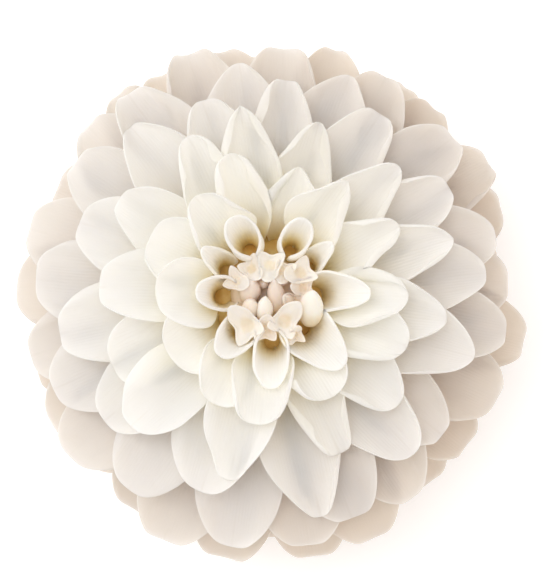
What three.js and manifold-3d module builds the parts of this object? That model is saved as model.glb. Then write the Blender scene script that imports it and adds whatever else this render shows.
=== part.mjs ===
import * as THREE from 'three';
import { mergeVertices } from 'three/addons/utils/BufferGeometryUtils.js';
import Module from 'manifold-3d';

// A white dahlia, cut close under its head and laid face up on its back petals.
// Millimetres, +Z up. z = 0 is the surface that it lies on, and the Z axis is the bloom's own axis.

const wasm = await Module();
wasm.setup();

const degree = Math.PI / 180;

// The tips of the open petals lie on a rounded body, flatter above its widest row than below it.
const bloomReach = 56;
const waistHeight = 24;
const crownRise = 27;
const skirtDrop = 40;

// Rows are counted from the innermost open petals, and each has the same number of petals.
const rowCount = 9;
const petalsPerRow = 13;
const frontRows = 5;
const firstTipAngle = 28.5;
const tipAnglePerRow = 12.2;
const rowTwist = 1.5;
const staggerInRow = 0.9;
const staggerStep = 8;
const ovalness = 0.02;

// The innermost open petals: place round the axis in degrees, and reach. Each later row sits in the gaps.
const firstRow = [
  { turn: -4, reach: 29 },
  { turn: 25, reach: 30 },
  { turn: 53, reach: 27.5 },
  { turn: 79, reach: 26 },
  { turn: 105, reach: 29 },
  { turn: 127, reach: 24 },
  { turn: 157, reach: 26.5 },
  { turn: 184, reach: 23 },
  { turn: 214, reach: 23.5 },
  { turn: 243, reach: 26 },
  { turn: 268, reach: 28 },
  { turn: 299, reach: 26 },
  { turn: 337, reach: 31 },
];

// Petals of the next two rows that depart from the rule of their row, by row and place in it.
const departures = {
  '1-0': { turn: 348, reach: 37.5 },
  '1-1': { turn: 16, reach: 40 },
  '1-2': { turn: 42, reach: 37.5 },
  '1-3': { turn: 72, reach: 37 },
  '1-4': { turn: 98, reach: 39 },
  '1-5': { turn: 119, reach: 36 },
  '1-6': { turn: 149, reach: 36.5 },
  '1-7': { turn: 178, reach: 35 },
  '1-8': { turn: 205, reach: 36 },
  '1-9': { turn: 226, reach: 40 },
  '1-10': { turn: 259, reach: 40 },
  '1-11': { turn: 293, reach: 37 },
  '1-12': { turn: 318, reach: 36 },
  '2-0': { turn: 340, reach: 45 },
  '2-1': { turn: 5, reach: 46 },
  '2-2': { turn: 31, reach: 44 },
  '2-3': { turn: 59, reach: 45 },
  '2-4': { turn: 85, reach: 45.5 },
  '2-8': { turn: 192, reach: 45 },
  '2-10': { turn: 250, reach: 44 },
  '2-11': { turn: 283, reach: 48.5 },
  '2-12': { turn: 310, reach: 45.5 },
};

// Rolled florets between the centre and the first open row: tubes cut aslant, so that each mouth is a loop.
// A tube's girth is its radius at the mouth, roll how far round it goes on each side in radians, and cut the
// share of its length where the mouth begins.
const tubeRoot = { radius: 11.5, height: 29, slope: 80 };
const tubeNeck = { girth: 0.5, end: 0.6 };
const tubeFlare = { growth: 0.14, start: 0.7 };
const leastRoll = 0.02;
const tubes = [
  { turn: 113, reach: 16.2, height: 49.4, slope: 66, roll: 3, girth: 3.2, cut: 0.66 },
  { turn: 64, reach: 16, height: 49.4, slope: 68, roll: 3, girth: 2.95, cut: 0.64 },
  { turn: 33, reach: 16.2, height: 47.4, slope: 50, roll: 2, girth: 2.7, cut: 0.4 },
  { turn: -5, reach: 21.2, height: 48.4, slope: 38, roll: 2.5, girth: 4.2, cut: 0.46 },
  { turn: -43, reach: 21.8, height: 48.2, slope: 34, roll: 2.35, girth: 4.8, cut: 0.44 },
  { turn: 274, reach: 20.6, height: 47.4, slope: 36, roll: 2.8, girth: 3.5, cut: 0.52 },
  { turn: 236, reach: 17.2, height: 48.2, slope: 46, roll: 2.4, girth: 3.7, cut: 0.48 },
  { turn: 183, reach: 15.2, height: 48.6, slope: 56, roll: 2.6, girth: 3.5, cut: 0.56 },
  { turn: 151, reach: 15.8, height: 47.2, slope: 50, roll: 2.2, girth: 2.7, cut: 0.5 },
];

// The receptacle that every petal grows from, and the circle inside it where the petals end.
const coreTop = 33.5;
const coreBottom = 12.5;
const coreProfile = [[10.5, coreBottom], [14, 17.5], [15, 24], [13.5, 30], [9.6, coreTop]];
const coreSides = 16;
const rootRadius = 12;
const rootHeight = 23.5;
const rootRise = 11;
const firstRootAngle = 64;
const rootAnglePerRow = 7;

// A petal leaves the receptacle steeply in the inner rows and level at the back, and its tip turns down.
const firstRootSlope = 66;
const rootSlopePerRow = 9;
const firstTipSlope = 12;
const tipSlopePerRow = 8.4;
const rootPull = 0.42;
const tipPull = 0.38;

// A petal's outline, as shares of its length and of its greatest half width.
const petalThickness = 0.8;
const widestAt = 0.64;
const clawWidth = 0.24;
const tipRoundness = 0.17;
const tipBend = 1.9;
const outlineTaper = { power: 2, bluntness: 0.7 };
const broadestHalfWidth = 9.5;
const broadestRow = 4;
const narrowingPerRow = 0.2;

// How far a petal curls up at its edges, in radians: most in the inner rows and towards the claw.
const firstCup = 0.8;
const cupLossPerRow = 0.09;
const leastCup = 0.45;
const clawCurl = 0.6;

// How much petals differ from the rule: shares of the reach, degrees, millimetres and radians.
const variety = { reach: 0.03, turn: 3, halfWidth: 0.6, cup: 0.1, tilt: 0.12, tubeTilt: 0.1 };

// Where a blade has its crossings, as shares of its length, and its cells from edge to edge.
const frontBlade = { stations: [0, 0.32, 0.58, 0.8], cells: 4, roundness: tipRoundness };
const backBlade = { stations: [0, 0.38, 0.74], cells: 2, roundness: tipRoundness / 2 };
const restingBlade = { stations: [0, 0.38, 0.74, 0.92], cells: 2, roundness: tipRoundness / 2 };
const tubeBlade = { stations: [0, 0.4, 0.75], cells: 8, roundness: tipRoundness * 0.85 };

// The lowest petals bend to lie along the surface, and the underside of each is pressed flat there.
const restingSlope = 2;
const restingCup = 0.12;
const seatGap = 0.3;

// Closed florets of the centre, on a cushion of their own, leaning in towards the axis: the outer ones are
// longer and lean further. Each growth is from the axis to the cushion's rim.
const budCount = 18;
const budSpacing = 1.25;
const firstBud = 0.4;
const goldenAngle = 137.508;
const budGirth = { atAxis: 1.25, growth: 0.4, variety: 0.08 };
const budLength = { atAxis: 6, growth: 2, variety: 0.1 };
const budLean = { atAxis: 0.12, growth: 0.3 };
const budProfile = [[0, 0], [0.7, 0.04], [1, 0.42], [0.72, 0.78], [0, 1]];
const budSides = 6;
const budSink = 0.6;
const cushionRadius = 6.4;
const cushionHeight = 4.2;
const cushionProfile = [[0, 0], [1, 0], [1, 0.4], [0.6, 0.85], [0, 1]];
const cushionSides = 16;
const domeShare = 0.75;

// The green bracts behind the bloom, and the short cut end of the stalk.
const stalkRadius = 3.1;
const stalkEnd = 1.5;
const stalkSides = 16;
const calyxRadius = 8;
const neckHeight = 4.5;
const neckSwell = { height: 2, growth: 1.5 };
const calyxRim = 0.6;
const bractCup = 0.5;
const bractVariety = 0.06;
const innerBracts = { count: 8, reach: 19, root: 11.3, tip: 13.2, slope: 14, halfWidth: 3.6, start: 0 };
const outerBracts = { count: 6, reach: 20, root: 8.8, tip: 5.5, slope: -24, halfWidth: 2.9, start: 15 };

// A repeatable number from 0 to 1 for each piece and each of its traits.
function chance(piece, trait) {
  const wave = Math.sin(piece * 12.9898 + trait * 78.233) * 43758.5453;
  return wave - Math.floor(wave);
}

function spread(piece, trait, width) {
  return (chance(piece, trait) * 2 - 1) * width;
}

const weldDistance = 1e-4;

function solidFrom(geometry) {
  geometry.deleteAttribute('normal');
  geometry.deleteAttribute('uv');
  const merged = mergeVertices(geometry, weldDistance);
  const vertProperties = new Float32Array(merged.getAttribute('position').array);
  const triVerts = new Uint32Array(merged.getIndex().array);
  return new wasm.Manifold(new wasm.Mesh({ numProp: 3, vertProperties, triVerts }));
}

function geometryFrom(solid) {
  const mesh = solid.getMesh();
  const geometry = new THREE.BufferGeometry();
  geometry.setAttribute('position', new THREE.BufferAttribute(mesh.vertProperties, 3));
  geometry.setIndex(new THREE.BufferAttribute(mesh.triVerts, 1));
  geometry.computeVertexNormals();
  return geometry;
}

// One body out of many: pockets sealed by the joining are filled, and loose scraps are dropped.
function largestBody(solid) {
  const bodies = solid.decompose();
  bodies.sort((a, b) => b.volume() - a.volume());
  return bodies[0];
}

function turnedSolid(profile, sides) {
  const points = profile.map(([radius, height]) => new THREE.Vector2(radius, height));
  return new THREE.LatheGeometry(points, sides).rotateX(Math.PI / 2);
}

// A curve in the half plane of distance from the axis and height, given by its ends and their slopes.
function sweep(root, rootSlope, tip, tipSlope) {
  const length = root.distanceTo(tip);
  const leave = new THREE.Vector2(Math.cos(rootSlope), Math.sin(rootSlope)).multiplyScalar(length * rootPull);
  const arrive = new THREE.Vector2(Math.cos(tipSlope), Math.sin(tipSlope)).multiplyScalar(length * tipPull);
  return new THREE.CubicBezierCurve(root, root.clone().add(leave), tip.clone().sub(arrive), tip);
}

function reachAt(level) {
  return bloomReach * Math.sin((firstTipAngle + tipAnglePerRow * level) * degree);
}

function tipHeightAt(level) {
  const height = Math.cos((firstTipAngle + tipAnglePerRow * level) * degree);
  return waistHeight + (height > 0 ? crownRise : skirtDrop) * height;
}

function liesOnSurface(level) {
  return tipHeightAt(level) < 0;
}

function petalPath(level, reach) {
  const rootAngle = (firstRootAngle + rootAnglePerRow * level) * degree;
  const lies = liesOnSurface(level);
  return sweep(
    new THREE.Vector2(rootRadius * Math.sin(rootAngle), rootHeight + rootRise * Math.cos(rootAngle)),
    (firstRootSlope - rootSlopePerRow * level) * degree,
    new THREE.Vector2(reach, Math.max(tipHeightAt(level), 0)),
    (lies ? restingSlope : firstTipSlope - tipSlopePerRow * level) * degree,
  );
}

function smooth(share) {
  const held = Math.min(Math.max(share, 0), 1);
  return held * held * (3 - 2 * held);
}

// Half width along a petal: a narrow claw, widest past the middle, then a round end with a slight point.
function outline(along) {
  if (along < widestAt) {
    return clawWidth + (1 - clawWidth) * smooth(along / widestAt);
  }
  const fall = (along - widestAt) / (1 - widestAt);
  return (1 - fall ** outlineTaper.power) ** outlineTaper.bluntness;
}

// The frame of a blade whose middle line is a curve standing in the plane through the axis at one turn.
function frameOn(path, turn, tilt) {
  const outward = new THREE.Vector3(Math.cos(turn), Math.sin(turn), 0);
  const around = new THREE.Vector3(-Math.sin(turn), Math.cos(turn), 0);
  return (along) => {
    const place = path.getPoint(along);
    const slope = path.getTangent(along);
    const ahead = outward.clone().multiplyScalar(slope.x).setZ(slope.y);
    return {
      centre: outward.clone().multiplyScalar(place.x).setZ(place.y),
      up: outward.clone().multiplyScalar(-slope.y).setZ(slope.x).applyAxisAngle(ahead, tilt * along),
      side: around.clone().applyAxisAngle(ahead, tilt * along),
    };
  };
}

// A blade with face and back sharing their rim. frameAt gives its middle line, and rollAt how far it curls.
function bladeSolid({ frameAt, halfWidthAt, rollAt, stations, cells, roundness }) {
  const positions = [];
  const addPoint = (point) => positions.push(point) - 1;

  const pointAt = (along, across, lift) => {
    const { centre, up, side } = frameAt(along);
    const roll = rollAt(along);
    const curl = roll * across;
    const radius = halfWidthAt(along) / roll;
    return centre
      .addScaledVector(side, (radius - lift) * Math.sin(curl))
      .addScaledVector(up, radius - (radius - lift) * Math.cos(curl));
  };
  const sharedPoint = (along, across) => {
    const corner = addPoint(pointAt(along, across, 0));
    return [corner, corner];
  };
  const rows = stations.map((along, step) => {
    const made = new Map();
    return Array.from({ length: cells + 1 }, (unused, cell) => {
      // The root narrows to its two edges and its middle.
      const column = step === 0 && cell > 0 && cell < cells ? cells / 2 : cell;
      const across = 2 * column / cells - 1;
      if (!made.has(column)) {
        made.set(column, Math.abs(across) === 1 ? sharedPoint(along, across) : [
          addPoint(pointAt(along, across, petalThickness / 2)),
          addPoint(pointAt(along, across, -petalThickness / 2)),
        ]);
      }
      return made.get(column);
    });
  });
  rows.push(Array.from({ length: cells + 1 }, (unused, cell) => {
    const across = 2 * cell / cells - 1;
    return sharedPoint(1 - roundness * Math.abs(across) ** tipBend, Math.sign(across));
  }));
  const face = rows.map((row) => row.map(([front]) => front));
  const back = rows.map((row) => row.map(([, rear]) => rear));

  const triangles = [];
  const addTriangle = (a, b, c) => {
    if (a !== b && b !== c && c !== a) {
      triangles.push(a, b, c);
    }
  };
  const middle = cells / 2;
  addTriangle(face[0][0], face[0][middle], back[0][middle]);
  addTriangle(face[0][cells], back[0][middle], face[0][middle]);
  for (let step = 0; step < stations.length; step += 1) {
    for (let cell = 0; cell < cells; cell += 1) {
      const corners = (layer) => [
        layer[step][cell], layer[step + 1][cell], layer[step + 1][cell + 1], layer[step][cell + 1],
      ];
      const [a, b, c, d] = corners(face);
      const [e, f, g, h] = corners(back);
      if (cell < middle) {
        addTriangle(a, b, c);
        addTriangle(a, c, d);
        addTriangle(e, g, f);
        addTriangle(e, h, g);
      } else {
        addTriangle(a, b, d);
        addTriangle(b, c, d);
        addTriangle(e, h, f);
        addTriangle(f, h, g);
      }
    }
  }
  const geometry = new THREE.BufferGeometry();
  const coordinates = positions.flatMap((point) => [point.x, point.y, point.z]);
  geometry.setAttribute('position', new THREE.Float32BufferAttribute(coordinates, 3));
  geometry.setIndex(triangles);
  return solidFrom(geometry);
}

// The places of every row round the axis: each petal stands between two of the row inside it.
function rowTurns() {
  const rows = [firstRow.map(({ turn }) => turn)];
  for (let row = 1; row < rowCount; row += 1) {
    const inner = rows[row - 1];
    rows.push(inner.map((turn, place) => {
      const before = place > 0 ? inner[place - 1] : inner[petalsPerRow - 1] - 360;
      return (turn + before) / 2 + rowTwist;
    }));
  }
  return rows;
}

function bladeFor(row, lies) {
  if (lies) {
    return restingBlade;
  }
  return row < frontRows ? frontBlade : backBlade;
}

function openPetal(row, place, turns) {
  const piece = row * petalsPerRow + place;
  // Neighbours in a row stand at different heights, as on a spiral.
  const stagger = (staggerStep * place % petalsPerRow) / petalsPerRow - 0.5;
  const level = row + stagger * staggerInRow;
  const lies = liesOnSurface(level);
  const ruledTurn = turns[row][place] + spread(piece, 2, variety.turn);
  const oval = 1 - ovalness * Math.cos(2 * ruledTurn * degree);
  const ruled = { turn: ruledTurn, reach: reachAt(level) * oval * (1 + spread(piece, 1, variety.reach)) };
  const own = row === 0 ? firstRow[place] : departures[`${row}-${place}`];
  const { turn, reach } = { ...ruled, ...own };
  const halfWidth = broadestHalfWidth - narrowingPerRow * (row - broadestRow) ** 2
    + spread(piece, 3, variety.halfWidth);
  const openCup = Math.max(firstCup - cupLossPerRow * row, leastCup) + spread(piece, 4, variety.cup);
  const cup = lies ? restingCup : openCup;
  return bladeSolid({
    frameAt: frameOn(petalPath(level, reach), turn * degree, lies ? 0 : spread(piece, 5, variety.tilt)),
    halfWidthAt: (along) => halfWidth * outline(along),
    rollAt: (along) => cup + clawCurl * (1 - along) ** 2,
    ...bladeFor(row, lies),
  });
}

function openPetals() {
  const turns = rowTurns();
  return turns.flatMap((unused, row) => firstRow.map((petal, place) => openPetal(row, place, turns)));
}

// A plane that cuts a tube aslant meets it further round the lower it goes.
function tubeFloret({ turn, reach, height, slope, roll, girth, cut }, place) {
  const path = sweep(
    new THREE.Vector2(tubeRoot.radius, tubeRoot.height), tubeRoot.slope * degree,
    new THREE.Vector2(reach, height), slope * degree,
  );
  const girthAt = (along) => {
    const opening = tubeNeck.girth + (1 - tubeNeck.girth) * smooth(along / tubeNeck.end);
    const flare = tubeFlare.growth * smooth((along - tubeFlare.start) / (1 - tubeFlare.start));
    return girth * opening * (1 + flare);
  };
  const rollAt = (along) => {
    const fromTip = Math.min((1 - along) / (1 - cut), 1);
    return Math.max(roll * Math.acos(1 - 2 * fromTip) / Math.PI, leastRoll);
  };
  return bladeSolid({
    frameAt: frameOn(path, turn * degree, spread(place, 6, variety.tubeTilt)),
    halfWidthAt: (along) => girthAt(along) * rollAt(along),
    rollAt,
    ...tubeBlade,
  });
}

function rayFlorets() {
  const core = solidFrom(turnedSolid([[0, coreBottom], ...coreProfile, [0, coreTop]], coreSides));
  const surface = new THREE.BoxGeometry(4 * bloomReach, 4 * bloomReach, bloomReach);
  surface.translate(0, 0, -bloomReach / 2);
  const whole = wasm.Manifold.union([core, ...openPetals(), ...tubes.map(tubeFloret)]);
  return largestBody(whole.subtract(solidFrom(surface)));
}

// A closed floret: a pointed bud with its root in the cushion, tipped over towards the axis.
function bud(place) {
  const distance = budSpacing * Math.sqrt(place + firstBud);
  const turn = place * goldenAngle * degree;
  const share = distance / cushionRadius;
  const girth = (budGirth.atAxis + budGirth.growth * share) * (1 + spread(place, 7, budGirth.variety));
  const length = (budLength.atAxis + budLength.growth * share) * (1 + spread(place, 8, budLength.variety));
  const dome = cushionHeight * domeShare * Math.sqrt(Math.max(1 - share * share, 0));
  const shape = turnedSolid(budProfile.map(([across, along]) => [across * girth, along * length]), budSides);
  shape.rotateY(-budLean.atAxis - budLean.growth * share);
  shape.rotateZ(turn);
  shape.translate(distance * Math.cos(turn), distance * Math.sin(turn), coreTop + seatGap + budSink + dome);
  return solidFrom(shape);
}

function centreFlorets() {
  const profile = cushionProfile.map(([across, up]) => [across * cushionRadius, up * cushionHeight]);
  const cushion = turnedSolid(profile, cushionSides).translate(0, 0, coreTop + seatGap);
  const buds = Array.from({ length: budCount }, (unused, place) => bud(place));
  return largestBody(wasm.Manifold.union([solidFrom(cushion), ...buds]));
}

function whorl({ count, reach, root, tip, slope, halfWidth, start }) {
  return Array.from({ length: count }, (unused, place) => {
    const path = sweep(
      new THREE.Vector2(stalkRadius * 0.6, root), 0,
      new THREE.Vector2(reach * (1 + spread(place, 9, bractVariety)), tip), slope * degree,
    );
    return bladeSolid({
      frameAt: frameOn(path, (start + 360 * place / count) * degree, 0),
      halfWidthAt: (along) => halfWidth * outline(along),
      rollAt: () => bractCup,
      ...backBlade,
    });
  });
}

function calyx() {
  const top = coreBottom - seatGap;
  const profile = [
    [0, stalkEnd], [stalkRadius, stalkEnd], [stalkRadius, top - neckHeight],
    [stalkRadius * neckSwell.growth, top - neckSwell.height],
    [calyxRadius, top - calyxRim], [calyxRadius, top], [0, top],
  ];
  const body = solidFrom(turnedSolid(profile, stalkSides));
  return largestBody(wasm.Manifold.union([body, ...whorl(innerBracts), ...whorl(outerBracts)]));
}

const finishes = {
  petal: new THREE.MeshStandardMaterial({ color: 0xf4efe4, roughness: 0.6, metalness: 0 }),
  bud: new THREE.MeshStandardMaterial({ color: 0xe9d9c4, roughness: 0.65, metalness: 0 }),
  green: new THREE.MeshStandardMaterial({ color: 0x7d9150, roughness: 0.6, metalness: 0 }),
};

const group = new THREE.Group();

function addPiece(name, solid, material) {
  const mesh = new THREE.Mesh(geometryFrom(solid), material);
  mesh.name = name;
  group.add(mesh);
}

addPiece('ray_florets', rayFlorets(), finishes.petal);
addPiece('centre_florets', centreFlorets(), finishes.bud);
addPiece('calyx_and_stalk', calyx(), finishes.green);

export default group;
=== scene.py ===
import math

import bpy
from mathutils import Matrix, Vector, noise
from mathutils.bvhtree import BVHTree


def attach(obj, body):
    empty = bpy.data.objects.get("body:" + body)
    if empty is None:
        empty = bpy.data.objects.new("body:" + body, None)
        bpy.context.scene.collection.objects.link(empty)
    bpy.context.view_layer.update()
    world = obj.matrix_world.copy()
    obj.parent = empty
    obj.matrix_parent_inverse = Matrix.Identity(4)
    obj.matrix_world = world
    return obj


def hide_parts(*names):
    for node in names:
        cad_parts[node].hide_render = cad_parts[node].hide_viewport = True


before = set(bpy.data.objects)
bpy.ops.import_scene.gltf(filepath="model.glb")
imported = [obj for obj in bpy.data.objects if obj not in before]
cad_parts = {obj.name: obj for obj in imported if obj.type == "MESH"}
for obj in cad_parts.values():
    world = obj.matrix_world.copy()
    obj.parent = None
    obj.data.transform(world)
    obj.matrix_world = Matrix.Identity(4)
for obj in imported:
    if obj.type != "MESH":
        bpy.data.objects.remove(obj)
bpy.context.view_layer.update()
mm = 0.001

# The shape that the tips of the open petals lie on, and how rows and petals follow each other.
bloom = {
    "reach": 56, "waistHeight": 24, "crownRise": 26.5, "skirtDrop": 40,
    "rows": 9, "petalsPerRow": 13,
    "firstTipAngle": 28.5, "tipAnglePerRow": 12.2, "rowTwist": 1.5, "staggerInRow": 0.9, "staggerStep": 8,
    "rootRadius": 12, "rootHeight": 23.5, "rootRise": 11, "firstRootAngle": 64, "rootAnglePerRow": 7,
    "firstRootSlope": 66, "rootSlopePerRow": 9, "firstTipSlope": 12, "tipSlopePerRow": 8.4,
    "rootPull": 0.42, "tipPull": 0.38, "oval": 0.02,
}


# What is left to chance in a piece. Each trait draws by its own number.
traits = {
    "reach": 1, "turn": 2, "width": 3, "cup": 4, "tilt": 5, "rolledTilt": 6, "bractReach": 9, "sway": 10,
    "rimLift": 11, "rimLean": 12, "waves": 13, "wavePhase": 14, "taper": 15, "petalTone": 16,
    "rolledTone": 17, "bractTone": 18, "fold": 19, "trumpetTone": 22, "firstRim": 23, "otherRim": 24,
    "tipLift": 25,
}


# A repeatable number from 0 to 1 for each piece and each of its traits.
def chance(piece, trait):
    wave = math.sin(piece * 12.9898 + traits[trait] * 78.233) * 43758.5453
    return wave - math.floor(wave)


# The same as a number from -width to width.
def spread(piece, trait, width):
    return (chance(piece, trait) * 2 - 1) * width


# Rises softly from 0 at low to 1 at high.
def smooth(low, high, value):
    share = min(max((value - low) / (high - low), 0), 1)
    return share * share * (3 - 2 * share)


# Gathers shells into one mesh, with what the finish needs to know at every point.
class Gathering:
    marks = ("along", "across", "edge", "tone", "ageAndShade")

    def __init__(self):
        self.points = []
        self.faces = []
        self.values = {mark: [] for mark in self.marks}

    def addPoint(self, point, **values):
        self.points.append(point * mm)
        for mark in self.marks:
            self.values[mark].append(values.get(mark, 0.0))
        return len(self.points) - 1

    def addFace(self, *corners):
        kept = list(dict.fromkeys(corners))
        if len(kept) > 2:
            self.faces.append(kept)

    def makePiece(self, name, finish, slot, *nodes):
        mesh = bpy.data.meshes.new(name)
        mesh.from_pydata(self.points, [], self.faces)
        for mark, values in self.values.items():
            mesh.attributes.new(mark, "FLOAT", "POINT").data.foreach_set("value", values)
        mesh.materials.append(finish)
        mesh.shade_smooth()
        piece = bpy.data.objects.new(name, mesh)
        bpy.context.collection.objects.link(piece)
        rounding = piece.modifiers.new("rounding", "SUBSURF")
        rounding.levels = rounding.render_levels = 1
        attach(piece, "root")
        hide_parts(*nodes)


# One socket of a material's node tree. Sums and products of values add their Math nodes.
class Value:
    def __init__(self, tree, socket=None):
        self.tree = tree
        self.socket = socket

    def node(self, kind, settings, inputs, output=0):
        made = self.tree.nodes.new(kind)
        for name, setting in settings.items():
            setattr(made, name, setting)
        for name, value in inputs.items():
            if isinstance(value, Value):
                self.tree.links.new(value.socket, made.inputs[name])
            else:
                made.inputs[name].default_value = value
        return Value(self.tree, made.outputs[output] if made.outputs else None)

    def maths(self, operation, first, second=0.0):
        return self.node("ShaderNodeMath", {"operation": operation}, {0: first, 1: second})

    def __add__(self, other):
        return self.maths("ADD", self, other)

    def __radd__(self, other):
        return self.maths("ADD", other, self)

    def __sub__(self, other):
        return self.maths("SUBTRACT", self, other)

    def __rsub__(self, other):
        return self.maths("SUBTRACT", other, self)

    def __mul__(self, other):
        return self.maths("MULTIPLY", self, other)

    def __rmul__(self, other):
        return self.maths("MULTIPLY", other, self)

    def __pow__(self, other):
        return self.maths("POWER", self, other)

    def __rpow__(self, other):
        return self.maths("POWER", other, self)

    def sine(self):
        return self.maths("SINE", self)

    def ramp(self, low, high):
        settings = {"interpolation_type": "SMOOTHSTEP"}
        return self.node("ShaderNodeMapRange", settings, {"Value": self, "From Min": low, "From Max": high})

    # What a mesh says at a point, by the names in Gathering.
    def mark(self, name):
        return self.node("ShaderNodeAttribute", {"attribute_name": name}, {}, "Fac")

    # One colour where the value is 0, the other where it is 1.
    def blend(self, first, second):
        settings = {"data_type": "RGBA", "clamp_factor": True}
        return self.node("ShaderNodeMix", settings, {"Factor": self, 6: first, 7: second}, 2)

    def mottle(self, scale, detail=2.0):
        place = self.node("ShaderNodeTexCoord", {}, {}, "Object")
        return self.node("ShaderNodeTexNoise", {}, {"Vector": place, "Scale": scale, "Detail": detail})


def startFinish(name):
    material = bpy.data.materials.new(name)
    material.use_nodes = True
    material.node_tree.nodes.clear()
    return material, Value(material.node_tree)


def endFinish(start, inputs):
    surface = start.node("ShaderNodeBsdfPrincipled", {}, inputs)
    start.node("ShaderNodeOutputMaterial", {}, {"Surface": surface})


# A colour from red, green and blue as a screen shows them, 0 to 255.
def shade(*parts):
    shares = [part / 255 for part in parts]
    linear = [share / 12.92 if share < 0.04045 else ((share + 0.055) / 1.055) ** 2.4 for share in shares]
    return (*linear, 1.0)


# The skin of a petal, from the deep root of its claw out to the blade. Its golden root is partly its own warm
# colour and partly painted shade, its rims carry a painted highlight, the dark line down its crease is
# painted shade, and the darker, warmer tint of the outer rows and of the sides away from the key light is
# partly ageing and partly painted shade. Each start and full says where a tint
# begins to show and where it has taken over, as shares of how far the claw's warmth reaches. Widths of drift
# and tone are how far they shift that, and strengths are how much of a tint is seen.
petalTint = {
    "blade": shade(253, 252, 247), "heart": shade(254, 252, 243), "claw": shade(251, 242, 210),
    "hollowShade": shade(232, 212, 150), "rim": shade(254, 253, 250), "agedAndShaded": shade(214, 197, 182),
    "veinAndCreaseShade": shade(214, 204, 188),
    "hollowShadeEnd": 0.06,  # as a share of the petal
    "clawFull": 0.6, "heartStart": 0.25, "bladeStart": 0.5, "bladeFull": 1.35,
    "driftScale": 60, "driftWidth": 0.16, "toneWidth": 0.12, "patchScale": 140, "grainScale": 900,
    "rimPower": 3, "rimHighlightStrength": 0.7, "ageAndShadeSpan": (0.1, 0.75), "ageAndShadeStrength": 0.95,
    "veins": 9, "veinDrift": 3, "veinPatches": (0.4, 0.7), "veinStrength": 0.09,
    "creaseShadeWidth": 0.35, "creaseShadeAlong": (0.75, 1.0), "creaseShadePatches": (0.35, 0.6), "creaseShadeStrength": 0.14,
    "veinHeight": 0.06, "grainHeight": 0.6, "roughness": 0.5, "roughnessDrift": 0.16,
}


def makePetalFinish(name, clawEnd):
    material, start = startFinish(name)
    tint = petalTint
    along = start.mark("along")
    across = start.mark("across")
    tone = start.mark("tone")
    drift = start.mottle(tint["driftScale"])
    base = along + (drift - 0.5) * tint["driftWidth"] + (tone - 0.5) * tint["toneWidth"]
    # Painted shade, partly the petal's own warm colour: deep in the claw the petal turns golden and darker.
    color = base.ramp(tint["hollowShadeEnd"], clawEnd * tint["clawFull"]).blend(tint["hollowShade"], tint["claw"])
    color = base.ramp(clawEnd * tint["heartStart"], clawEnd).blend(color, tint["heart"])
    color = base.ramp(clawEnd * tint["bladeStart"], clawEnd * tint["bladeFull"]).blend(color, tint["blade"])
    # Painted highlight: the rims are tinted whiter, as if their thin edges caught the light.
    color = (start.mark("edge") ** tint["rimPower"] * tint["rimHighlightStrength"]).blend(color, tint["rim"])
    # Painted shade, partly ageing: the outer rows and the sides away from the key light are tinted darker and
    # warmer.
    color = (start.mark("ageAndShade").ramp(*tint["ageAndShadeSpan"]) * tint["ageAndShadeStrength"]).blend(color, tint["agedAndShaded"])
    veins = (across * tint["veins"] + drift * tint["veinDrift"]).sine() * (1 - start.mark("edge")) * 0.5
    patches = start.mottle(tint["patchScale"], 3)
    threads = veins.ramp(0.1, 0.5) * patches.ramp(*tint["veinPatches"]) * tint["veinStrength"]
    color = threads.blend(color, tint["veinAndCreaseShade"])
    # Painted shade: a darker line down the middle of the petal towards its tip, where the crease of the fold
    # holds shade. The veins above share this tint but are the petal's own.
    crease = (across * across).ramp(tint["creaseShadeWidth"] ** 2, 0) * along.ramp(*tint["creaseShadeAlong"])
    crease = crease * patches.ramp(*tint["creaseShadePatches"]) * tint["creaseShadeStrength"]
    color = crease.blend(color, tint["veinAndCreaseShade"])
    grain = start.mottle(tint["grainScale"], 3)
    bump = start.node("ShaderNodeBump", {}, {
        "Strength": 0.35, "Distance": tint["veinHeight"] * mm, "Height": veins + grain * tint["grainHeight"],
    })
    endFinish(start, {
        "Base Color": color, "Roughness": tint["roughness"] + drift * tint["roughnessDrift"], "Normal": bump,
        "Subsurface Weight": 0.8, "Subsurface Radius": (1.0, 0.95, 0.84), "Subsurface Scale": 0.0032,
        "Specular IOR Level": 0.28, "Sheen Weight": 0.12, "Sheen Roughness": 0.45,
    })
    return material


# A curve in the half plane of distance from the axis and height, given by its ends and their slopes.
def sweep(root, rootSlope, tip, tipSlope):
    length = math.dist(root, tip)
    leave = length * bloom["rootPull"]
    arrive = length * bloom["tipPull"]
    knots = (
        root,
        (root[0] + leave * math.cos(rootSlope), root[1] + leave * math.sin(rootSlope)),
        (tip[0] - arrive * math.cos(tipSlope), tip[1] - arrive * math.sin(tipSlope)),
        tip,
    )

    def at(along):
        rest = 1 - along
        pulls = (rest ** 3, 3 * rest * rest * along, 3 * rest * along * along, along ** 3)
        middle = 2 * rest * along
        turns = (-rest * rest, rest * rest - middle, middle - along * along, along * along)
        place = [sum(pull * knot[axis] for pull, knot in zip(pulls, knots)) for axis in (0, 1)]
        slope = [sum(turn * knot[axis] for turn, knot in zip(turns, knots)) for axis in (0, 1)]
        size = math.hypot(*slope)
        return place[0], place[1], slope[0] / size, slope[1] / size
    return at


# The frame of a blade whose middle line stands in the plane through the axis at one turn.
def frameOn(path, turn, tilt, sway=0.0):
    outward = Vector((math.cos(turn), math.sin(turn), 0))
    around = Vector((-math.sin(turn), math.cos(turn), 0))

    def at(along):
        reach, height, run, rise = path(along)
        level = Vector((0, 0, 1))
        up = level * run - outward * rise
        lean = tilt * along
        side = around * math.cos(lean) + up * math.sin(lean)
        above = up * math.cos(lean) - around * math.sin(lean)
        centre = outward * reach + level * height + around * (sway * along * along)
        return centre, side, above
    return at


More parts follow.
